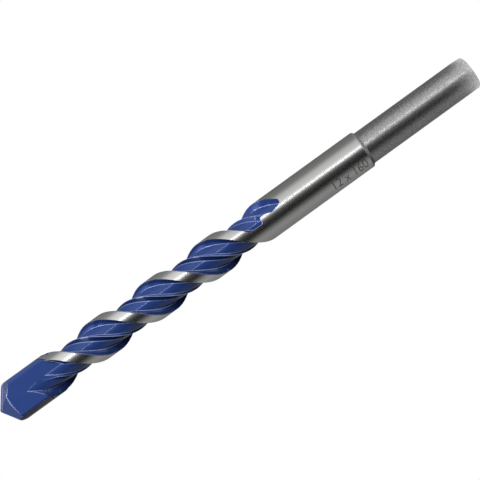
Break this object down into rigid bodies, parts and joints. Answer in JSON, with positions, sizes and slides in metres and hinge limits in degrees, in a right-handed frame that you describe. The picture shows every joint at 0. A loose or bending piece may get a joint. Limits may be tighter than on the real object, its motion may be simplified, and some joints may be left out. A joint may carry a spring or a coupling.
{
  "type": "multi-purpose drill bit",
  "caption": "Twist drill bit with a brazed carbide tip across a flatted head, a long helical flute pair and a thinner plain cylindrical shank.",
  "frame": {"origin": "centre of the shank's flat end face", "axes": "+Z along the bit's axis, from the shank's end to the point; +X along the width of the carbide tip"},
  "size_m": [0.012, 0.0114, 0.16],
  "materials": {
    "tool_steel": "ground steel with a round grain; flutes and head under a glossy dark blue coating",
    "coated_carbide": "ground cemented carbide under a thin satin blue coating, bare grey on its round margins",
    "silver_solder": "thin satin line of silver solder"
  },
  "bodies": {
    "root": {"steel_body": "tool_steel", "carbide_tip": "coated_carbide", "braze_joint": "silver_solder"}
  },
  "joints": []
}
